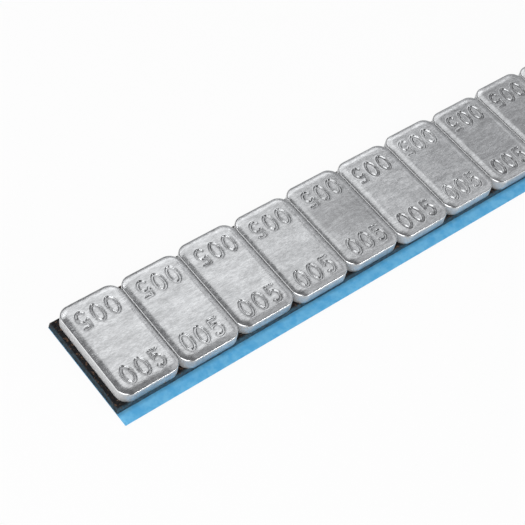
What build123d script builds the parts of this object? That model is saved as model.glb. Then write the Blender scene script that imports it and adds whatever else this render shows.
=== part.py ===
"""Adhesive wheel balance weight: a strip of coined steel weights on foam tape with its release liner.

Millimetres. +X runs along the strip, +Y to its rear edge and +Z up. The origin is on the underside of
the liner, in the middle of the strip's length and on the centre line of the weights.
"""
from build123d import *
import os

# Steel weights, each five grams
weight_count = 12
weight_pitch = 12.5
weight_gap = 0.1
weight_length = 20.7
weight_height = 2.55
crown_width = 1.6
crown_drop = 0.28
flat_corner_radius = 0.8
lane_stagger = 0.3

# Foam tape under the weights
tape_thickness = 1.15
tape_inset = 0.05
tape_end = 1.2
tape_end_slant = 0.3

# Release liner under the tape
liner_thickness = 0.12
liner_tab = 2.5

# Sizes that follow from the ones above
weight_width = weight_pitch - weight_gap
corner_radius = flat_corner_radius + crown_width
crown_radius = (crown_width**2 + crown_drop**2) / (2 * crown_drop)
tape_width = weight_length - 2 * tape_inset
strip_length = weight_count * weight_pitch - weight_gap + 2 * tape_end
tape_foot_z = liner_thickness
weight_foot_z = tape_foot_z + tape_thickness
first_weight_x = -(weight_count - 1) / 2 * weight_pitch


def coining_die():
    """The form that rolls the top over: a wider blank with a large round, which the weight cuts short."""
    overhang = crown_radius - crown_width
    width = weight_width + 2 * overhang
    length = weight_length + 2 * overhang
    slab = extrude(RectangleRounded(width, length, corner_radius + overhang), -weight_height - crown_radius)
    return Pos(Z=weight_height) * fillet(slab.edges().group_by(Axis.Z)[-1], crown_radius)


def coined_weight():
    """One weight at the origin: rounded in plan and rolled over along its top."""
    blank = extrude(RectangleRounded(weight_width, weight_length, corner_radius), weight_height)
    return blank & coining_die()


def foam_tape():
    """The tape, cut square across and slanting in towards its top at both ends."""
    foot_end = strip_length / 2
    top_end = foot_end - tape_end_slant
    profile = Polygon(
        (-foot_end, 0),
        (foot_end, 0),
        (top_end, tape_thickness),
        (-top_end, tape_thickness),
        align=None,
    )
    return Pos(Z=tape_foot_z) * extrude(Plane.XZ * profile, tape_width / 2, both=True)


def release_liner():
    """The liner, flush with the tape at both ends and its rear edge, standing out in front as a pull tab."""
    liner_width = tape_width + liner_tab
    sheet = Box(strip_length, liner_width, liner_thickness, align=(Align.CENTER, Align.MAX, Align.MIN))
    return Pos(Y=tape_width / 2) * sheet


def write_node(name, solid):
    """Writes one node of the part."""
    solid.label = name
    export_step(solid, f"parts/{name}.step")


os.makedirs("parts", exist_ok=True)

# The weights are laid from two lanes in turn, so every second one sits a little further forward
weight = coined_weight()
for index in range(weight_count):
    lane_y = lane_stagger / 2 if index % 2 == 0 else -lane_stagger / 2
    place = Pos(first_weight_x + index * weight_pitch, lane_y, weight_foot_z)
    write_node(f"weight_{index + 1:02d}", place * weight)

write_node("foam_tape", foam_tape())
write_node("release_liner", release_liner())
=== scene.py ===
"""Adhesive wheel balance weight: stamped steel weights on foam tape, its liner, and a plain studio.

Metres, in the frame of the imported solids: +X along the strip, +Y to its rear edge, +Z up.
"""
import logging
import math
from dataclasses import dataclass, field
from enum import Enum

import bpy
import numpy as np
from mathutils import Matrix, Vector


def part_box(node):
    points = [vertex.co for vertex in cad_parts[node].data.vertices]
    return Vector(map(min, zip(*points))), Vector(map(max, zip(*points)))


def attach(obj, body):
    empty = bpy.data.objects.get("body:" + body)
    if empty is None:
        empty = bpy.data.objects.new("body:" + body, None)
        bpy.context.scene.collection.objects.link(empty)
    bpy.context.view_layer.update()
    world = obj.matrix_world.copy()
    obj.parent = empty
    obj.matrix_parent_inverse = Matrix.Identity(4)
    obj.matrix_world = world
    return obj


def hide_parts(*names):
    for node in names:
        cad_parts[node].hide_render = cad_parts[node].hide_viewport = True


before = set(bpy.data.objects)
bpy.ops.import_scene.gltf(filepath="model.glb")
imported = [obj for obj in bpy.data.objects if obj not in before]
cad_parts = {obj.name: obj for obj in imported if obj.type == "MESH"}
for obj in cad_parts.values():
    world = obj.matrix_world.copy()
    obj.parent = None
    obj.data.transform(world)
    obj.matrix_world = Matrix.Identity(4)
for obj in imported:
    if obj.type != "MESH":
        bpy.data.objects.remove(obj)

LOG = logging.getLogger("balance_weight")
MM = 0.001
BODY = "root"
TAPE_NODE = "foam_tape"
LINER_NODE = "release_liner"
WEIGHT_PREFIX = "weight_"
PHOTO_SIDE_PX = 525
Colour = tuple[float, float, float, float]


class Slot(Enum):
    """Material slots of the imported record."""

    STEEL = "zinc_steel"
    FOAM = "foam"
    LINER = "liner_film"


class Row(Enum):
    """The two rows of stamped numbers on a weight, by the side that they are read from."""

    NEAR = -1
    FAR = 1


class Digit(Enum):
    """The digits of the stamp."""

    ZERO = "0"
    FIVE = "5"


def colour(red: float, green: float, blue: float) -> Colour:
    """Gives an opaque linear colour.

    Args:
        red: Its red, from 0 to 1.
        green: Its green.
        blue: Its blue.

    Returns:
        The colour with its alpha.
    """
    return (red, green, blue, 1.0)


WHITE = colour(1.0, 1.0, 1.0)


class NodeGraph:
    """Adds and links nodes in one tree, with inputs given by name or index."""

    def __init__(self, tree: bpy.types.NodeTree) -> None:
        """Starts on the tree that the nodes go into."""
        self.tree = tree

    def add(self, kind: str, inputs: dict | None = None, **settings: object) -> bpy.types.Node:
        """Adds a node.

        Args:
            kind: The node's type name.
            inputs: Values or output sockets for its inputs.
            settings: Properties that are set on the node before its inputs.

        Returns:
            The new node.
        """
        node = self.tree.nodes.new(kind)
        for name, value in settings.items():
            setattr(node, name, value)
        for key, value in (inputs or {}).items():
            self.feed(node.inputs[key], value)
        return node

    def feed(self, socket: bpy.types.NodeSocket, value: object) -> None:
        """Links an output socket to an input, or sets the input's value.

        Args:
            socket: The input.
            value: An output socket or a plain value.
        """
        if isinstance(value, bpy.types.NodeSocket):
            self.tree.links.new(value, socket)
        else:
            socket.default_value = value

    def math(self, operation: str, *values: object) -> bpy.types.NodeSocket:
        """Adds a math node on numbers or sockets, in order, and gives its result's socket."""
        return self.add("ShaderNodeMath", dict(enumerate(values)), operation=operation).outputs[0]

    def blend(self, factor: object, first: object, second: object, mode: str = "MIX") -> bpy.types.NodeSocket:
        """Adds a colour mix, with how much of the second colour is taken, and gives its socket."""
        inputs = {0: factor, 6: first, 7: second}
        return self.add("ShaderNodeMix", inputs, data_type="RGBA", blend_type=mode).outputs[2]

    def ramp(self, value: object, low: object, high: object, to_low: object = 0.0,
             to_high: object = 1.0) -> bpy.types.NodeSocket:
        """Adds a smooth step from one range of values to another and gives its socket."""
        inputs = {"Value": value, "From Min": low, "From Max": high, "To Min": to_low, "To Max": to_high}
        return self.add("ShaderNodeMapRange", inputs, interpolation_type="SMOOTHSTEP").outputs["Result"]


@dataclass(frozen=True)
class Mottle:
    """Soft patches: their size, their finer layers, and their lowest and highest value."""

    size: float
    layers: float
    low: float = 0.0
    high: float = 1.0


@dataclass(frozen=True)
class MottleGroup:
    """The node group that all finishes place for their soft patches."""

    noise_roughness: float = 0.6
    noise_low: float = 0.3
    noise_high: float = 0.7

    def build(self) -> bpy.types.NodeTree:
        """Builds the group.

        Returns:
            The shader node group, with a mottle's values as its inputs.
        """
        tree = bpy.data.node_groups.new("soft_mottle", "ShaderNodeTree")
        tree.interface.new_socket("Vector", in_out="INPUT", socket_type="NodeSocketVector")
        for name in ("Patch", "Detail", "Low", "High"):
            tree.interface.new_socket(name, in_out="INPUT", socket_type="NodeSocketFloat")
        tree.interface.new_socket("Value", in_out="OUTPUT", socket_type="NodeSocketFloat")
        graph = NodeGraph(tree)
        given = graph.add("NodeGroupInput").outputs
        noise = graph.add("ShaderNodeTexNoise", {
            "Vector": given["Vector"], "Scale": graph.math("DIVIDE", 1.0, given["Patch"]),
            "Detail": given["Detail"], "Roughness": self.noise_roughness,
        })
        spread = graph.ramp(noise.outputs[0], self.noise_low, self.noise_high, given["Low"], given["High"])
        graph.add("NodeGroupOutput", {"Value": spread})
        return tree


@dataclass(frozen=True)
class Finish:
    """A finish: its material's name and the group of soft patches that all finishes share."""

    name: str
    group: bpy.types.NodeTree

    def start(self) -> tuple[bpy.types.Material, NodeGraph, bpy.types.Node, bpy.types.NodeSocket]:
        """Makes a material with its shader and coordinates.

        Returns:
            The material, its graph, its principled shader and the coordinate socket.
        """
        material = bpy.data.materials.new(self.name)
        material.use_nodes = True
        material.node_tree.nodes.clear()
        graph = NodeGraph(material.node_tree)
        shader = graph.add("ShaderNodeBsdfPrincipled")
        graph.add("ShaderNodeOutputMaterial", {"Surface": shader.outputs[0]})
        place = graph.add("ShaderNodeTexCoord").outputs["Object"]
        return material, graph, shader, place

    def patches(self, graph: NodeGraph, place: bpy.types.NodeSocket, mottle: Mottle) -> bpy.types.NodeSocket:
        """Places soft patches.

        Args:
            graph: The material's graph.
            place: The coordinates that they read.
            mottle: Their size and values.

        Returns:
            The socket that holds their value.
        """
        inputs = {
            "Vector": place, "Patch": mottle.size, "Detail": mottle.layers, "Low": mottle.low,
            "High": mottle.high,
        }
        return graph.add("ShaderNodeGroup", inputs, node_tree=self.group).outputs[0]

    @staticmethod
    def relief(graph: NodeGraph, shader: bpy.types.Node, height: bpy.types.NodeSocket, depth: float,
               strength: float) -> None:
        """Feeds the shader's normal from a height of 0 to 1, which is that deep and that strong."""
        bump = graph.add("ShaderNodeBump", {"Height": height, "Distance": depth, "Strength": strength})
        graph.feed(shader.inputs["Normal"], bump.outputs[0])


@dataclass(frozen=True)
class ZincSteelFinish(Finish):
    """Zinc plated coined steel: satin tops with a fine rolled grain, matt sides, and painted shade in the
    grooves.
    """

    face: Colour = colour(0.63, 0.64, 0.65)
    # The worn rim's brighter colour, also used as painted light on the shear-cut end sides
    rim: Colour = colour(0.72, 0.725, 0.73)
    # The dark colour of the painted shade in the grooves
    groove_shade: Colour = colour(0.11, 0.11, 0.115)
    grain_stretch: tuple[float, float, float] = (0.35, 1.0, 1.0)
    broad: Mottle = Mottle(1.8 * MM, 3.0, 0.85, 1.07)
    grain: Mottle = Mottle(0.26 * MM, 3.0, 0.82, 1.11)
    wear: Mottle = Mottle(1.1 * MM, 2.0, 0.4, 1.0)
    # Patches and amounts of the painted shade on the grooves' flanks and floors
    shade_streak: Mottle = Mottle(0.5 * MM, 2.0, 2.0, 4.8)
    groove_floor_shade: float = 0.14
    # How sharply the painted light gathers on the shear-cut end sides
    sheared_light_falloff: float = 3.0
    satin: Mottle = Mottle(0.6 * MM, 3.0, 0.16, 0.26)
    side_roughness: float = 0.85
    peel: Mottle = Mottle(0.28 * MM, 3.0)
    peel_depth: float = 0.01 * MM
    peel_strength: float = 0.45
    rim_polish: float = 0.8

    def material(self) -> bpy.types.Material:
        """Builds the material.

        Returns:
            The finished material.
        """
        material, graph, shader, place = self.start()
        mask = {
            name: graph.add("ShaderNodeAttribute", attribute_name=name).outputs["Fac"]
            for name in ("rim", "side", "painted_tone", "groove")
        }
        # The plating's colour, broken by broad patches and a grain along the strip, and on each flat top a
        # painted brightness that stands in for that weight's reflection
        rolled = graph.add("ShaderNodeMapping", {"Vector": place, "Scale": self.grain_stretch}).outputs[0]
        grain = self.patches(graph, rolled, self.grain)
        mottled = graph.math("MULTIPLY", self.patches(graph, rolled, self.broad), grain)
        face = graph.blend(1.0, self.face, graph.math("MULTIPLY", mottled, mask["painted_tone"]), "MULTIPLY")
        # Brighter on the worn rim, and painted light on the shear-cut end sides
        worn = graph.math("MULTIPLY", mask["rim"], self.patches(graph, place, self.wear))
        sheared_and_painted_light = graph.math("POWER", mask["side"], self.sheared_light_falloff)
        worn_and_painted_light = graph.blend(graph.math("MAXIMUM", worn, sheared_and_painted_light), face, self.rim)
        # Painted shade in streaky patches on the grooves' flanks, where their mask is between 0 and 1, and a
        # thin painted shade inside them
        flank = graph.math("MULTIPLY", mask["groove"], graph.math("SUBTRACT", 1.0, mask["groove"]))
        streaked_shade = graph.math("MULTIPLY", flank, self.patches(graph, place, self.shade_streak))
        painted_shade = graph.math("ADD", streaked_shade, graph.math("MULTIPLY", mask["groove"], self.groove_floor_shade))
        graph.feed(shader.inputs["Base Color"], graph.blend(painted_shade, worn_and_painted_light, self.groove_shade))
        # Satin tops, matt sides, and a fine peel that is fainter on the rim
        satin = self.patches(graph, rolled, self.satin)
        matt = graph.math("MULTIPLY", mask["side"], graph.math("SUBTRACT", self.side_roughness, satin))
        graph.feed(shader.inputs["Roughness"], graph.math("ADD", satin, matt))
        graph.feed(shader.inputs["Metallic"], 1.0)
        rough = graph.math("SUBTRACT", 1.0, graph.math("MULTIPLY", mask["rim"], self.rim_polish))
        peel = graph.math("MULTIPLY", self.patches(graph, rolled, self.peel), rough)
        self.relief(graph, shader, peel, self.peel_depth, self.peel_strength)
        return material


@dataclass(frozen=True)
class FoamFinish(Finish):
    """Black closed-cell foam with brown specks, with painted light on its cut sides and most of all in a band
    along its front.
    """

    front_edge: float
    body: Colour = colour(0.006, 0.006, 0.007)
    # The pale bluish colour of the painted light on the cut sides and along the front
    cut: Colour = colour(0.05, 0.108, 0.15)
    speck: Colour = colour(0.1, 0.056, 0.034)
    front_reach: float = 0.6 * MM
    side_share: float = 0.42
    uneven: Mottle = Mottle(0.8 * MM, 3.0, 0.35, 1.3)
    specks: Mottle = Mottle(0.6 * MM, 3.0, -3.4, 1.2)
    speck_fade: float = 0.7
    matt: Mottle = Mottle(0.4 * MM, 2.0, 0.7, 0.95)
    gloss: float = 0.3
    cells: Mottle = Mottle(0.22 * MM, 2.0)
    cell_depth: float = 0.08 * MM
    cell_strength: float = 0.7

    def material(self) -> bpy.types.Material:
        """Builds the material.

        Returns:
            The finished material.
        """
        material, graph, shader, place = self.start()
        side = graph.add("ShaderNodeAttribute", attribute_name="side").outputs["Fac"]
        # Painted light: a share on the cut sides, full in a band along the front edge, broken by patches
        along = graph.add("ShaderNodeSeparateXYZ", {0: place}).outputs["Y"]
        front = graph.ramp(along, self.front_edge, self.front_edge + self.front_reach, 1.0, 0.0)
        painted_light = graph.math("MAXIMUM", graph.math("MULTIPLY", side, self.side_share), front)
        painted_light_patches = graph.math("MULTIPLY", painted_light, self.patches(graph, place, self.uneven))
        foam = graph.blend(painted_light_patches, self.body, self.cut)
        specks = graph.math("MAXIMUM", self.patches(graph, place, self.specks), 0.0)
        kept = graph.math("SUBTRACT", 1.0, graph.math("MULTIPLY", side, self.speck_fade))
        graph.feed(shader.inputs["Base Color"],
                   graph.blend(graph.math("MULTIPLY", specks, kept), foam, self.speck))
        graph.feed(shader.inputs["Roughness"], self.patches(graph, place, self.matt))
        graph.feed(shader.inputs["Specular IOR Level"], self.gloss)
        cells = self.patches(graph, place, self.cells)
        self.relief(graph, shader, cells, self.cell_depth, self.cell_strength)
        return material


@dataclass(frozen=True)
class LinerFinish(Finish):
    """Smooth blue film with faint cloudy patches, and painted shade close to the tape."""

    tape_edge: float
    pale: Colour = colour(0.165, 0.53, 0.84)
    deep: Colour = colour(0.085, 0.42, 0.76)
    cloud: Mottle = Mottle(1.8 * MM, 3.0)
    # How dark the painted shade along the tape gets, and how far out it reaches
    painted_shade: float = 0.7
    painted_shade_reach: float = 0.9 * MM
    satin: Mottle = Mottle(1.2 * MM, 2.0, 0.36, 0.5)
    ripple: Mottle = Mottle(3.0 * MM, 1.0)
    ripple_depth: float = 0.03 * MM
    ripple_strength: float = 0.4

    def material(self) -> bpy.types.Material:
        """Builds the material.

        Returns:
            The finished material.
        """
        material, graph, shader, place = self.start()
        film = graph.blend(self.patches(graph, place, self.cloud), self.deep, self.pale)
        along = graph.add("ShaderNodeSeparateXYZ", {0: place}).outputs["Y"]
        # Painted shade on the film, darker towards the tape's front edge
        painted_shade_factor = graph.ramp(along, self.tape_edge - self.painted_shade_reach, self.tape_edge, 1.0, self.painted_shade)
        graph.feed(shader.inputs["Base Color"], graph.blend(1.0, film, painted_shade_factor, "MULTIPLY"))
        graph.feed(shader.inputs["Roughness"], self.patches(graph, place, self.satin))
        ripple = self.patches(graph, place, self.ripple)
        self.relief(graph, shader, ripple, self.ripple_depth, self.ripple_strength)
        return material


def mesh_from(name: str, points: np.ndarray, faces: list[list[int]],
              attributes: dict[str, np.ndarray]) -> bpy.types.Mesh:
    """Makes a smooth mesh with point attributes.

    Args:
        name: The mesh's name.
        points: Its points, one row each.
        faces: Its faces, as lists of point numbers.
        attributes: A number for each point, by attribute name.

    Returns:
        The mesh.
    """
    mesh = bpy.data.meshes.new(name)
    mesh.from_pydata(points.tolist(), [], faces)
    for key, values in attributes.items():
        mesh.attributes.new(key, "FLOAT", "POINT").data.foreach_set("value", values.astype(np.float32))
    mesh.polygons.foreach_set("use_smooth", np.ones(len(mesh.polygons), dtype=bool))
    mesh.update()
    return mesh


def ring_faces(first: np.ndarray, second: np.ndarray) -> list[list[int]]:
    """Joins two closed rings, the second below or outside the first.

    Args:
        first: Point numbers of the first ring, anticlockwise from above.
        second: Point numbers of the second ring, in the same order.

    Returns:
        The faces, pointing outwards.
    """
    return np.stack([first, second, np.roll(second, -1), np.roll(first, -1)], axis=1).tolist()


def add_piece(mesh: bpy.types.Mesh, node: str) -> bpy.types.Object:
    """Puts a finished mesh in the scene in place of its solid.

    Args:
        mesh: The mesh, in its place.
        node: The solid that it stands for.

    Returns:
        The piece.
    """
    piece = bpy.data.objects.new(f"{node}_finished", mesh)
    bpy.context.scene.collection.objects.link(piece)
    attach(piece, BODY)
    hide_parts(node)
    return piece


class NodeModifier:
    """A geometry node tree with named inputs, placed on one object at a time."""

    def __init__(self, name: str, inputs: dict[str, str]) -> None:
        """Starts a tree with a geometry input and output and the named inputs.

        Args:
            name: The tree's name.
            inputs: Socket types by input name.
        """
        self.tree = bpy.data.node_groups.new(name, "GeometryNodeTree")
        interface = self.tree.interface
        interface.new_socket("Geometry", in_out="INPUT", socket_type="NodeSocketGeometry")
        self.sockets = {
            key: interface.new_socket(key, in_out="INPUT", socket_type=kind).identifier
            for key, kind in inputs.items()
        }
        interface.new_socket("Geometry", in_out="OUTPUT", socket_type="NodeSocketGeometry")
        self.graph = NodeGraph(self.tree)
        self.given = self.graph.add("NodeGroupInput").outputs

    def attribute(self, name: str) -> bpy.types.NodeSocket:
        """Reads a number that the base mesh holds at each point."""
        return self.graph.add("GeometryNodeInputNamedAttribute", {"Name": name}, data_type="FLOAT").outputs[0]

    def noise(self, size: bpy.types.NodeSocket, layers: float) -> bpy.types.NodeSocket:
        """Adds a soft noise of 0 to 1 that the input named Seed changes, and gives its socket."""
        inputs = {"W": self.given["Seed"], "Scale": self.graph.math("DIVIDE", 1.0, size), "Detail": layers}
        return self.graph.add("ShaderNodeTexNoise", inputs, noise_dimensions="4D").outputs[0]

    def along_normal(self, distance: bpy.types.NodeSocket) -> bpy.types.NodeSocket:
        """Gives the socket of a move along the surface's normal."""
        inputs = {0: self.graph.add("GeometryNodeInputNormal").outputs[0], "Scale": distance}
        return self.graph.add("ShaderNodeVectorMath", inputs, operation="SCALE").outputs[0]

    def moved(self, offset: bpy.types.NodeSocket) -> bpy.types.NodeSocket:
        """Moves the given geometry's points and gives its socket."""
        inputs = {"Geometry": self.given["Geometry"], "Offset": offset}
        return self.graph.add("GeometryNodeSetPosition", inputs).outputs[0]

    def close(self, geometry: bpy.types.NodeSocket) -> None:
        """Ends the tree in realised geometry with its material.

        Args:
            geometry: The socket that holds the finished shape.
        """
        real = self.graph.add("GeometryNodeRealizeInstances", {"Geometry": geometry})
        inputs = {"Geometry": real.outputs[0], "Material": self.given["Finish"]}
        dressed = self.graph.add("GeometryNodeSetMaterial", inputs)
        self.graph.add("NodeGroupOutput", {"Geometry": dressed.outputs[0]})

    def run(self, base: bpy.types.Mesh, name: str, values: dict[str, object]) -> bpy.types.Mesh:
        """Runs the tree on a mesh.

        Args:
            base: The mesh that it starts from, which is used up.
            name: The new mesh's name.
            values: A value for each named input.

        Returns:
            The plain mesh.
        """
        host = bpy.data.objects.new(f"{name}_base", base)
        bpy.context.scene.collection.objects.link(host)
        modifier = host.modifiers.new(self.tree.name, "NODES")
        modifier.node_group = self.tree
        for key, value in values.items():
            modifier[self.sockets[key]] = value
        evaluated = bpy.context.evaluated_depsgraph_get()
        mesh = bpy.data.meshes.new_from_object(
            host.evaluated_get(evaluated), preserve_all_data_layers=True, depsgraph=evaluated
        )
        mesh.name = name
        bpy.data.objects.remove(host)
        bpy.data.meshes.remove(base)
        return mesh


@dataclass
class NumberStamp:
    """The number pressed into both ends of a weight: a plain figure of single strokes."""

    text: tuple[Digit, ...] = (Digit.ZERO, Digit.ZERO, Digit.FIVE)
    height: float = 3.4 * MM
    width: float = 1.8 * MM
    advance: float = 3.0 * MM
    row_centre: float = 6.45 * MM
    off_centre: float = -0.45 * MM
    bowl_share: float = 0.66
    bowl_turn: float = 140.0
    bar_reach: float = 0.85
    stem_reach: float = 0.7
    arc_steps: int = 28

    def strokes(self, digit: Digit) -> list[np.ndarray]:
        """Gives a digit's strokes about its own centre.

        Args:
            digit: The digit.

        Returns:
            Open polylines, one row of x and y for each point.
        """
        half_w, half_h = self.width / 2, self.height / 2
        if digit is Digit.ZERO:
            turn = np.linspace(0, 2 * math.pi, 2 * self.arc_steps)
            return [np.stack([half_w * np.cos(turn), half_h * np.sin(turn)], axis=1)]
        turn = np.radians(np.linspace(self.bowl_turn, -self.bowl_turn, self.arc_steps))
        bowl_half = self.bowl_share * half_h
        bowl = np.stack([half_w * np.cos(turn), bowl_half - half_h + bowl_half * np.sin(turn)], axis=1)
        stem = np.array([[self.bar_reach * half_w, half_h], [-self.stem_reach * half_w, half_h], bowl[0]])
        return [stem, bowl]

    def place(self, points: np.ndarray, column: int, row: Row) -> np.ndarray:
        """Moves a stroke to its place on the weight's top.

        Args:
            points: The stroke about its digit's centre.
            column: The digit's place in the number.
            row: The row that it is in.

        Returns:
            The stroke about the weight's centre.
        """
        shift = (column - (len(self.text) - 1) / 2) * self.advance
        moved = points + np.array([shift, -self.row_centre])
        return (moved if row is Row.NEAR else -moved) + np.array([0.0, self.off_centre])

    def mesh(self, level: float) -> bpy.types.Mesh:
        """Builds the strokes of both rows as edges.

        Args:
            level: The height that they lie at.

        Returns:
            A mesh of edges alone.
        """
        points: list[tuple[float, float, float]] = []
        edges: list[tuple[int, int]] = []
        for row in Row:
            for column, digit in enumerate(self.text):
                for stroke in self.strokes(digit):
                    placed = self.place(stroke, column, row)
                    start = len(points)
                    points.extend((x, y, level) for x, y in placed)
                    edges.extend((start + k, start + k + 1) for k in range(len(placed) - 1))
        mesh = bpy.data.meshes.new("number_strokes")
        mesh.from_pydata(points, edges, [])
        return mesh


@dataclass(frozen=True)
class Ring:
    """One ring of points round a weight, below the flat of its top, with its share of each mask."""

    offset: float
    height: float
    rim: float = 0.0
    side: float = 0.0
    top: float = 0.0


@dataclass
class CoinedWeights:
    """The row of steel weights: rounded in plan, rolled over at the top, stamped at both ends."""

    finish: bpy.types.Material
    stamp: NumberStamp
    # Shape, and the tilts in degrees between which the bright rim and the matt side, which also carries
    # painted light on the shear-cut ends, come and go
    crown_width: float = 1.6 * MM
    crown_drop: float = 0.28 * MM
    flat_corner_radius: float = 0.8 * MM
    rim_radius: float = 0.34 * MM
    foot_radius: float = 0.08 * MM
    rim_tilts: tuple[float, float, float, float] = (20.0, 35.0, 70.0, 90.0)
    side_tilts: tuple[float, float] = (60.0, 85.0)
    end_matt: float = 0.4
    # Steps of the mesh
    crown_steps: int = 7
    rim_steps: int = 7
    wall_steps: int = 4
    foot_steps: int = 1
    fine_step: float = 0.07 * MM
    coarse_step: float = 0.2 * MM
    # The pressed number, the waves of the top, and the dents of the rim and sides
    stroke_width: float = 0.64 * MM
    groove_depth: float = 0.26 * MM
    groove_wall: float = 0.17 * MM
    ragged: float = 0.12 * MM
    lip_height: float = 0.025 * MM
    lip_spread: float = 0.12 * MM
    wave_height: float = 0.02 * MM
    wave_size: float = 3.0 * MM
    dent_depth: float = 0.05 * MM
    dent_size: float = 1.6 * MM
    noise_layers: float = 2.0
    # How the weights differ: the number's place, its turn in degrees, its depth, and a painted brightness on
    # each flat top that stands in for its reflection
    seed: int = 7
    shift_spread: float = 0.2 * MM
    turn_spread: float = 1.2
    depth_spread: tuple[float, float] = (0.85, 1.1)
    # Painted brightness of each weight's flat top, standing in for how it reflects the light
    painted_tones: tuple[float, ...] = (1.0, 0.98, 0.95, 0.88, 0.8, 0.97, 0.95, 0.85, 0.8, 0.9, 0.85, 0.9)
    # One weight gets a darker painted middle on its top, standing in for its reflection
    painted_dim_weight: str = "weight_05"
    painted_dim: float = 0.15
    painted_dim_reach: float = 5.6 * MM
    painted_dim_fade: float = 3.5 * MM
    # Read from the frame
    names: list[str] = field(init=False)
    half_x: float = field(init=False)
    half_y: float = field(init=False)
    height: float = field(init=False)

    def __post_init__(self) -> None:
        """Reads the weights' names and their common size from the frame."""
        self.names = sorted(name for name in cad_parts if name.startswith(WEIGHT_PREFIX))
        low, high = (Vector(corner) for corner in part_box(self.names[0]))
        self.half_x, self.half_y = (high.x - low.x) / 2, (high.y - low.y) / 2
        self.height = high.z - low.z

    def lines(self, half: float, fine_from: float, fine_to: float) -> np.ndarray:
        """Spaces grid lines, finer where the stamp is.

        Args:
            half: Half the top's size in this direction.
            fine_from: Where the fine spacing starts, out from the middle.
            fine_to: Where it ends.

        Returns:
            The lines' places, from one edge to the other.
        """
        stops = ((0.0, fine_from, self.coarse_step), (fine_from, fine_to, self.fine_step),
                 (fine_to, half, self.coarse_step / 2))
        spans = [
            np.linspace(start, end, max(1, round((end - start) / step)), endpoint=False)
            for start, end, step in stops if end > start
        ]
        outward = np.append(np.concatenate(spans), half)
        return np.concatenate([-outward[:0:-1], outward])

    def top_grid(self) -> tuple[np.ndarray, np.ndarray]:
        """Lays a grid over the flat of the top, with its corners rounded.

        Returns:
            The grid's x and y, one row for each line across.
        """
        flat_x, flat_y = self.half_x - self.crown_width, self.half_y - self.crown_width
        radius = self.flat_corner_radius
        reach = self.stamp.height / 2 + self.stroke_width + abs(self.stamp.off_centre)
        row = self.stamp.row_centre
        along = self.lines(flat_y, row - reach, min(flat_y, row + reach))
        across = self.lines(flat_x, 0.0, flat_x)
        x, y = np.meshgrid(across, along)
        # Near a corner the square grid is drawn in until its edge is a quarter circle
        over_x = np.clip(np.abs(x) - (flat_x - radius), 0, None) / radius
        over_y = np.clip(np.abs(y) - (flat_y - radius), 0, None) / radius
        pull_x = over_x * (1 - np.sqrt(1 - over_y**2 / 2)) * radius
        pull_y = over_y * (1 - np.sqrt(1 - over_x**2 / 2)) * radius
        return x - np.sign(x) * pull_x, y - np.sign(y) * pull_y

    def outward(self, edge: np.ndarray) -> np.ndarray:
        """Gives the outward direction in plan at each point of the flat's edge.

        Args:
            edge: The points, one row of x and y each.

        Returns:
            Unit directions in the same order.
        """
        flat = np.array([self.half_x - self.crown_width, self.half_y - self.crown_width])
        centre = flat - self.flat_corner_radius
        away = np.sign(edge) * np.clip(np.abs(edge) - centre, 0, None)
        tiny = 1e-9
        straight = np.where(np.abs(np.abs(edge) - flat) < tiny, np.sign(edge), 0.0)
        corner = (np.abs(edge) > centre + tiny).all(axis=1, keepdims=True)
        outwards = np.where(corner, away, straight)
        return outwards / np.linalg.norm(outwards, axis=1, keepdims=True)

    def rings(self) -> list[Ring]:
        """Lists the rings below the flat: the low crown, the narrow rim, the wall and the foot.

        Returns:
            The rings, from the flat outwards and down.
        """
        crown_radius = (self.crown_width**2 + self.crown_drop**2) / (2 * self.crown_drop)
        # The rim's small arc takes over from the crown's large one where both lean the same
        inner = self.crown_width - self.rim_radius
        lean = math.asin(inner / (crown_radius - self.rim_radius))
        rim_height = self.height - crown_radius + (crown_radius - self.rim_radius) * math.cos(lean)
        rings = []
        for turn in np.linspace(0, lean, self.crown_steps + 1)[1:]:
            offset = crown_radius * math.sin(turn)
            rings.append(Ring(offset, self.height - crown_radius * (1 - math.cos(turn)),
                              top=1 - offset / self.crown_width))
        for turn in np.linspace(lean, math.pi / 2, self.rim_steps + 1)[1:]:
            tilt = math.degrees(turn)
            rings.append(Ring(inner + self.rim_radius * math.sin(turn),
                              rim_height + self.rim_radius * math.cos(turn),
                              rim=float(np.interp(tilt, self.rim_tilts, (0, 1, 1, 0))),
                              side=float(np.interp(tilt, self.side_tilts, (0, 1)))))
        for height in np.linspace(rim_height, self.foot_radius, self.wall_steps + 1)[1:]:
            rings.append(Ring(self.crown_width, height, side=1.0))
        for turn in np.linspace(0, math.pi / 2, self.foot_steps + 1)[1:]:
            rings.append(Ring(self.crown_width - self.foot_radius * (1 - math.cos(turn)),
                              self.foot_radius * (1 - math.sin(turn)), side=1.0))
        return rings

    def blank(self, painted_tone: float, painted_dim: float) -> bpy.types.Mesh:
        """Builds one unstamped weight about its own foot.

        Args:
            painted_tone: How bright its flat top is painted, standing in for its reflection.
            painted_dim: How much darker the middle of its top is painted, standing in for its reflection.

        Returns:
            The closed mesh.
        """
        x, y = self.top_grid()
        rows, columns = x.shape
        number = np.arange(rows * columns).reshape(rows, columns)
        top = np.stack([x.ravel(), y.ravel(), np.full(x.size, self.height)], axis=1)
        faces = np.stack([number[:-1, :-1], number[:-1, 1:], number[1:, 1:], number[1:, :-1]], axis=-1)
        faces = faces.reshape(-1, 4).tolist()
        loop = np.concatenate([number[0, :-1], number[:-1, -1], number[-1, :0:-1], number[:0:-1, 0]])
        edge = top[loop, :2]
        outwards = self.outward(edge)
        around = np.ones(len(loop))
        points, masks, last = [top], [np.tile([0.0, 0.0, 1.0], (len(top), 1))], loop
        for ring in self.rings():
            current = np.arange(len(loop)) + sum(len(group) for group in points)
            faces.extend(ring_faces(last, current))
            points.append(np.column_stack([edge + outwards * ring.offset, around * ring.height]))
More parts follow.
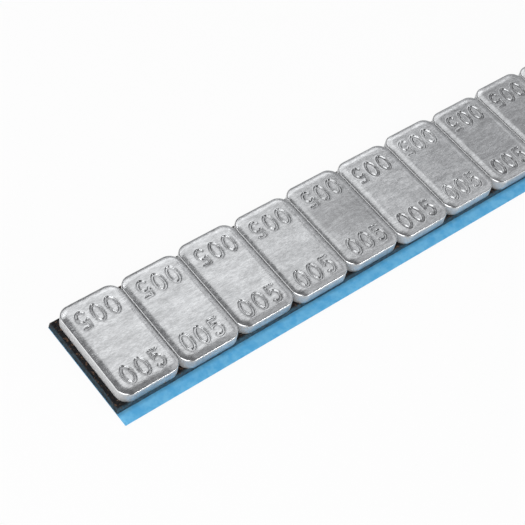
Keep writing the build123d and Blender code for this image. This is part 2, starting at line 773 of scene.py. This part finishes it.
            # The sides' share: matt, and on the shear-cut ends it also carries painted light
            matt = ring.side * (self.end_matt + (1 - self.end_matt) * np.abs(outwards[:, 0]))
            masks.append(np.column_stack([around * ring.rim, matt, around * ring.top]))
            last = current
        faces.append(last[::-1].tolist())
        everything = np.concatenate(points)
        attributes = dict(zip(("rim", "side", "top"), np.concatenate(masks).T))
        # Painted brightness of the flat top, darker in the middle on one weight, standing in for its
        # reflection
        middle = np.clip((self.painted_dim_reach - np.abs(everything[:, 1])) / self.painted_dim_fade, 0, 1)
        attributes["painted_tone"] = 1.0 - attributes["top"] ** 2 * (1.0 - painted_tone + painted_dim * middle)
        return mesh_from("weight_blank", everything, faces, attributes)

    def unevenness(self, tool: NodeModifier, size: str, reach: str, less: float) -> bpy.types.NodeSocket:
        """Adds a soft noise that is lowered and then scaled.

        Args:
            tool: The modifier that it goes into.
            size: The input that holds the size of its patches.
            reach: The input that it is scaled by.
            less: What is taken off the noise.

        Returns:
            The socket that holds the result.
        """
        lowered = tool.graph.math("SUBTRACT", tool.noise(tool.given[size], self.noise_layers), less)
        return tool.graph.math("MULTIPLY", lowered, tool.given[reach])

    def press(self) -> NodeModifier:
        """Builds the nodes that press the number in and leave the top wavy and the rim and sides dented.

        Returns:
            The modifier.
        """
        sizes = ("Depth", "Stroke", "Groove Wall", "Ragged", "Lip", "Lip Spread", "Wave Height", "Wave Size",
                 "Dent Depth", "Dent Size", "Seed")
        tool = NodeModifier("number_press", {
            "Marks": "NodeSocketObject", "Mark Shift": "NodeSocketVector", "Mark Turn": "NodeSocketVector",
            **dict.fromkeys(sizes, "NodeSocketFloat"), "Finish": "NodeSocketMaterial",
        })
        graph, given, top = tool.graph, tool.given, tool.attribute("top")
        # How far each point is from the strokes, with a ragged edge
        marks = graph.add("GeometryNodeObjectInfo", {"Object": given["Marks"]}).outputs["Geometry"]
        shifted = graph.add("GeometryNodeTransform", {
            "Geometry": marks, "Translation": given["Mark Shift"], "Rotation": given["Mark Turn"],
        })
        near = graph.add("GeometryNodeProximity", {0: shifted.outputs[0]}, target_element="EDGES")
        tear = self.unevenness(tool, "Stroke", "Ragged", 0.5)
        distance = graph.math("ADD", near.outputs["Distance"], tear)
        # The groove, and the lip beside it: the rest of the top lies lower by the lip's height
        half = graph.math("MULTIPLY", given["Stroke"], 0.5)
        groove = graph.ramp(distance, graph.math("SUBTRACT", half, given["Groove Wall"]), half, 1.0, 0.0)
        beside = graph.math("DIVIDE", graph.math("SUBTRACT", distance, half), given["Lip Spread"])
        bell = graph.math("EXPONENT", graph.math("MULTIPLY", graph.math("MULTIPLY", beside, beside), -1.0))
        lip = graph.math("MULTIPLY", graph.math("SUBTRACT", bell, 1.0), given["Lip"])
        # Waves and dents only go inwards, so the weight stays inside its solid
        wavy = graph.math("ADD", lip, self.unevenness(tool, "Wave Size", "Wave Height", 1.0))
        drop = graph.math("SUBTRACT", wavy, graph.math("MULTIPLY", groove, given["Depth"]))
        sunk = graph.add("ShaderNodeCombineXYZ", {"Z": graph.math("MULTIPLY", drop, top)}).outputs[0]
        dent = self.unevenness(tool, "Dent Size", "Dent Depth", 1.0)
        dented = tool.along_normal(graph.math("MULTIPLY", dent, graph.math("SUBTRACT", 1.0, top)))
        offset = graph.add("ShaderNodeVectorMath", {0: sunk, 1: dented}, operation="ADD").outputs[0]
        stored = graph.add("GeometryNodeStoreNamedAttribute", {
            "Geometry": tool.moved(offset), "Name": "groove", "Value": graph.math("MULTIPLY", groove, top),
        }, data_type="FLOAT", domain="POINT")
        tool.close(stored.outputs[0])
        return tool

    def build(self) -> list[bpy.types.Object]:
        """Makes every weight and puts it in place of its solid.

        Returns:
            The pieces, in order along the strip.
        """
        marks = bpy.data.objects.new("number_strokes", self.stamp.mesh(self.height))
        bpy.context.scene.collection.objects.link(marks)
        tool = self.press()
        draw = np.random.default_rng(self.seed)
        pieces = []
        for index, name in enumerate(self.names):
            low, high = (Vector(corner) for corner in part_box(name))
            shift = draw.uniform(-self.shift_spread, self.shift_spread, 2)
            turn = math.radians(draw.uniform(-self.turn_spread, self.turn_spread))
            depth = self.groove_depth * draw.uniform(*self.depth_spread)
            # Only one weight gets the darker painted middle
            painted_dim = self.painted_dim if name == self.painted_dim_weight else 0.0
            blank = self.blank(self.painted_tones[index % len(self.painted_tones)], painted_dim)
            mesh = tool.run(blank, f"{name}_mesh", {
                "Marks": marks, "Mark Shift": (*shift, 0.0), "Mark Turn": (0.0, 0.0, turn), "Depth": depth,
                "Stroke": self.stroke_width, "Groove Wall": self.groove_wall, "Ragged": self.ragged,
                "Lip": self.lip_height, "Lip Spread": self.lip_spread, "Wave Height": self.wave_height,
                "Wave Size": self.wave_size, "Dent Depth": self.dent_depth, "Dent Size": self.dent_size,
                "Seed": float(index), "Finish": self.finish,
            })
            mesh.transform(Matrix.Translation(((low.x + high.x) / 2, (low.y + high.y) / 2, low.z)))
            pieces.append(add_piece(mesh, name))
        strokes = marks.data
        bpy.data.objects.remove(marks)
        bpy.data.meshes.remove(strokes)
        return pieces


@dataclass
class CutSheet:
    """A flat strip with cut edges: rings of points from its top down to its underside."""

    node: str
    finish: bpy.types.Material
    slot: Slot
    end_slant: float
    edge_break: float
    side_step: float
    side_rings: int
    bite_depth: float
    bite_size: float
    seed: float
    bite_from: float = 0.35
    bite_full: float = 0.75
    noise_layers: float = 3.0

    def outline(self, low: Vector, high: Vector) -> tuple[np.ndarray, np.ndarray]:
        """Walks round the strip's foot.

        Args:
            low: Its lowest corner.
            high: Its highest corner.

        Returns:
            The points anticlockwise from above, and the outward direction in plan at each.
        """
        corners = np.array([(low.x, low.y), (high.x, low.y), (high.x, high.y), (low.x, high.y)])
        normals = np.array([(0.0, -1.0), (1.0, 0.0), (0.0, 1.0), (-1.0, 0.0)])
        points, directions = [], []
        for k, (start, end) in enumerate(zip(corners, np.roll(corners, -1, axis=0))):
            count = max(2, round(float(np.linalg.norm(end - start)) / self.side_step))
            points.append(start + (end - start) * np.linspace(0, 1, count, endpoint=False)[:, None])
            out = np.tile(normals[k], (count, 1))
            out[0] += normals[k - 1]
            directions.append(out)
        return np.concatenate(points), np.concatenate(directions)

    def rings(self, thickness: float) -> list[tuple[float, float]]:
        """Lists the rings from the top down.

        Args:
            thickness: The strip's thickness.

        Returns:
            For each ring, how far it lies inside the foot's outline and its height.
        """
        inset = self.edge_break
        heights = [thickness] + list(np.linspace(thickness - inset, inset, self.side_rings)) + [0.0]
        insets = [inset] + [0.0] * self.side_rings + [inset]
        return list(zip(insets, heights))

    def blank(self, low: Vector, high: Vector) -> bpy.types.Mesh:
        """Builds the closed strip.

        Args:
            low: Its lowest corner.
            high: Its highest corner.

        Returns:
            The mesh, in its place.
        """
        edge, outwards = self.outline(low, high)
        thickness = high.z - low.z
        points, faces, side, last = [], [], [], None
        for inset, height in self.rings(thickness):
            plan = edge - outwards * inset
            slant = self.end_slant * height / thickness
            plan[:, 0] = np.clip(plan[:, 0], low.x + slant + inset, high.x - slant - inset)
            current = np.arange(len(edge)) + len(edge) * len(points)
            points.append(np.column_stack([plan, np.full(len(edge), low.z + height)]))
            side.append(np.full(len(edge), 1.0 if 0 < height < thickness else 0.0))
            faces.extend([current.tolist()] if last is None else ring_faces(last, current))
            last = current
        faces.append(last[::-1].tolist())
        attributes = {"side": np.concatenate(side)}
        return mesh_from(f"{self.node}_blank", np.concatenate(points), faces, attributes)

    def roughen(self) -> NodeModifier:
        """Builds the nodes that leave the cut sides uneven, never outside the strip's own outline.

        Returns:
            The modifier.
        """
        tool = NodeModifier(f"{self.node}_cut", {
            **dict.fromkeys(("Depth", "Size", "Seed"), "NodeSocketFloat"), "Finish": "NodeSocketMaterial",
        })
        graph, given = tool.graph, tool.given
        bitten = graph.ramp(tool.noise(given["Size"], self.noise_layers), self.bite_from, self.bite_full)
        bite = graph.math("MULTIPLY", graph.math("MULTIPLY", bitten, given["Depth"]), tool.attribute("side"))
        tool.close(tool.moved(tool.along_normal(graph.math("MULTIPLY", bite, -1.0))))
        return tool

    def build(self) -> bpy.types.Object:
        """Makes the strip and puts it in place of its solid.

        Returns:
            The piece.
        """
        low, high = (Vector(corner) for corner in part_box(self.node))
        mesh = self.roughen().run(self.blank(low, high), f"{self.node}_mesh", {
            "Depth": self.bite_depth, "Size": self.bite_size, "Seed": self.seed, "Finish": self.finish,
        })
        return add_piece(mesh, self.node)


def direction(azimuth: float, elevation: float) -> Vector:
    """Gives the direction from the part to a place around it.

    Args:
        azimuth: Degrees from the front, turning towards +X.
        elevation: Degrees above the floor.

    Returns:
        A unit vector.
    """
    turn, rise = math.radians(azimuth), math.radians(elevation)
    return Vector((math.sin(turn) * math.cos(rise), -math.cos(turn) * math.cos(rise), math.sin(rise)))


@dataclass(frozen=True)
class Viewpoint:
    """Where the photograph was taken from, and with what lens."""

    target: tuple[float, float, float] = (-38.17 * MM, -0.5 * MM, 3.82 * MM)
    azimuth: float = -49.23
    elevation: float = 52.41
    roll: float = -13.73
    distance: float = 249.57 * MM
    focal_px: float = 1399.5
    nearest: float = 10.0 * MM

    def build(self) -> bpy.types.Object:
        """Makes the camera.

        Returns:
            The camera's object.
        """
        back = direction(self.azimuth, self.elevation)
        right = (-back).cross(Vector((0, 0, 1))).normalized()
        up = right.cross(-back)
        turned = Matrix((right, up, back)).transposed() @ Matrix.Rotation(math.radians(-self.roll), 3, "Z")
        lens = bpy.data.cameras.new("photo_lens")
        lens.sensor_fit = "HORIZONTAL"
        lens.lens = self.focal_px * lens.sensor_width / PHOTO_SIDE_PX
        lens.clip_start = self.nearest
        camera = bpy.data.objects.new("photo_view", lens)
        camera.matrix_world = Matrix.Translation(Vector(self.target) + back * self.distance) @ turned.to_4x4()
        bpy.context.scene.collection.objects.link(camera)
        bpy.context.scene.camera = camera
        return camera


def area_lamp(name: str, size: tuple[float, float], radiance: float, place: Matrix) -> bpy.types.Object:
    """Makes an even rectangular lamp.

    Args:
        name: Its name.
        size: Its width and height.
        radiance: How bright its face is.
        place: Where it is, facing along its own -Z.

    Returns:
        The lamp's object.
    """
    lamp = bpy.data.lights.new(name, "AREA")
    lamp.shape = "RECTANGLE"
    lamp.size, lamp.size_y = size
    lamp.energy = radiance * math.pi * size[0] * size[1]
    holder = bpy.data.objects.new(name, lamp)
    holder.matrix_world = place
    bpy.context.scene.collection.objects.link(holder)
    return holder


@dataclass(frozen=True)
class SoftBox:
    """A soft rectangular lamp, pointed at the part."""

    name: str
    azimuth: float
    elevation: float
    distance: float
    width: float
    height: float
    radiance: float

    def build(self, target: Vector) -> bpy.types.Object:
        """Makes the lamp.

        Args:
            target: The point that it faces.

        Returns:
            The lamp's object.
        """
        away = direction(self.azimuth, self.elevation)
        turn = away.to_track_quat("Z", "Y").to_matrix().to_4x4()
        place = Matrix.Translation(target + away * self.distance) @ turn
        return area_lamp(self.name, (self.width, self.height), self.radiance, place)


@dataclass(frozen=True)
class CeilingPanel:
    """A level lamp overhead, given by the degrees from upright at which the part sees its edges."""

    name: str
    left: float
    right: float
    front: float
    rear: float
    radiance: float
    height: float = 1.5

    def build(self, target: Vector) -> bpy.types.Object:
        """Makes the lamp.

        Args:
            target: The point that sees it so.

        Returns:
            The lamp's object.
        """
        slopes = np.radians([self.left, self.right, self.front, self.rear])
        low_x, high_x, low_y, high_y = (self.height * np.tan(slopes)).tolist()
        middle = Vector(((low_x + high_x) / 2, (low_y + high_y) / 2, self.height))
        size = (high_x - low_x, high_y - low_y)
        return area_lamp(self.name, size, self.radiance, Matrix.Translation(target + middle))


@dataclass
class Studio:
    """The floor, the lamps and the surrounding light."""

    view: Viewpoint
    floor_half: float = 1.5
    floor_drop: float = 0.01 * MM
    floor_colour: Colour = colour(0.9, 0.9, 0.9)
    floor_lift: float = 0.92
    # The surround brightens towards +X, between these two x of a unit direction
    dim_side: Colour = colour(0.2, 0.2, 0.205)
    bright_side: Colour = colour(0.46, 0.46, 0.47)
    dim_until: float = 0.3
    bright_from: float = 0.6
    lamps: tuple[CeilingPanel | SoftBox, ...] = (
        CeilingPanel("overhead_panel", left=11.0, right=36.0, front=16.0, rear=36.0, radiance=0.87),
        CeilingPanel("rear_panel", left=-8.0, right=50.0, front=36.0, rear=52.0, radiance=1.15),
        CeilingPanel("rear_left_panel", left=-10.0, right=11.0, front=34.0, rear=46.0, radiance=3.2),
        CeilingPanel("right_panel", left=46.0, right=58.0, front=0.0, rear=36.0, radiance=0.45),
        CeilingPanel("front_right_panel", left=22.0, right=58.0, front=-14.0, rear=12.0, radiance=0.32),
        SoftBox("camera_side_box", azimuth=-60.0, elevation=45.0, distance=0.7, width=0.6, height=0.6,
                radiance=2.8),
        SoftBox("left_box", azimuth=-110.0, elevation=18.0, distance=0.7, width=0.6, height=0.45,
                radiance=1.2),
        SoftBox("front_strip", azimuth=24.0, elevation=12.0, distance=0.5, width=0.26, height=0.06,
                radiance=9.0),
    )

    def floor(self) -> bpy.types.Object:
        """Makes the pale floor, which the eye and the steel both see as white.

        Returns:
            The floor's object.
        """
        material = bpy.data.materials.new("pale_floor")
        material.use_nodes = True
        material.node_tree.nodes.clear()
        graph = NodeGraph(material.node_tree)
        ray = graph.add("ShaderNodeLightPath").outputs
        seen = graph.math("MAXIMUM", ray["Is Camera Ray"],
                          graph.math("MAXIMUM", ray["Is Glossy Ray"], ray["Is Transmission Ray"]))
        paint = graph.add("ShaderNodeBsdfDiffuse", {"Color": self.floor_colour})
        glow = graph.add("ShaderNodeEmission", {"Color": WHITE, "Strength": 1.0})
        mix = graph.add("ShaderNodeMixShader", {
            0: graph.math("MULTIPLY", seen, self.floor_lift), 1: paint.outputs[0], 2: glow.outputs[0],
        })
        graph.add("ShaderNodeOutputMaterial", {"Surface": mix.outputs[0]})
        half, level = self.floor_half, -self.floor_drop
        corners = np.array([(x * half, y * half, level) for x, y in ((-1, -1), (1, -1), (1, 1), (-1, 1))])
        mesh = mesh_from("floor_mesh", corners, [[0, 1, 2, 3]], {})
        mesh.materials.append(material)
        floor = bpy.data.objects.new("floor", mesh)
        bpy.context.scene.collection.objects.link(floor)
        return floor

    def world(self) -> None:
        """Sets the light that comes from all round, white where it is looked at."""
        world = bpy.data.worlds.new("studio_surround")
        world.use_nodes = True
        world.node_tree.nodes.clear()
        graph = NodeGraph(world.node_tree)
        ray = graph.add("ShaderNodeLightPath").outputs
        aim = graph.add("ShaderNodeTexCoord").outputs["Generated"]
        across = graph.add("ShaderNodeSeparateXYZ", {0: aim}).outputs["X"]
        brighter = graph.ramp(across, self.dim_until, self.bright_from)
        surround = graph.blend(brighter, self.dim_side, self.bright_side)
        shade = graph.blend(ray["Is Camera Ray"], surround, WHITE)
        backdrop = graph.add("ShaderNodeBackground", {"Color": shade, "Strength": 1.0})
        graph.add("ShaderNodeOutputWorld", {"Surface": backdrop.outputs[0]})
        bpy.context.scene.world = world

    def build(self) -> None:
        """Makes the floor, the surround, the lamps and the camera."""
        bpy.context.scene.view_settings.view_transform = "Standard"
        self.floor()
        self.world()
        for lamp in self.lamps:
            lamp.build(Vector(self.view.target))
        self.view.build()


def main() -> None:
    """Builds the pieces in order and reports them, then builds the studio."""
    logging.basicConfig(level=logging.INFO, format="%(name)s: %(message)s")
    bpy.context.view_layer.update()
    tape_low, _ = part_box(TAPE_NODE)
    tape_front = float(tape_low[1])
    group = MottleGroup().build()
    steel = ZincSteelFinish("zinc_steel", group).material()
    foam = FoamFinish("black_foam", group, front_edge=tape_front).material()
    film = LinerFinish("blue_film", group, tape_edge=tape_front).material()
    pieces = CoinedWeights(steel, NumberStamp()).build()
    pieces.append(CutSheet(
        TAPE_NODE, foam, Slot.FOAM, end_slant=0.3 * MM, edge_break=0.06 * MM, side_step=0.2 * MM,
        side_rings=5, bite_depth=0.1 * MM, bite_size=0.6 * MM, seed=1.0,
    ).build())
    pieces.append(CutSheet(
        LINER_NODE, film, Slot.LINER, end_slant=0.0, edge_break=0.02 * MM, side_step=0.5 * MM,
        side_rings=2, bite_depth=0.0, bite_size=1.0 * MM, seed=2.0,
    ).build())
    for piece in pieces:
        LOG.info("%s has %d faces", piece.name, len(piece.data.polygons))
    Studio(Viewpoint()).build()


if __name__ == "__main__":
    main()
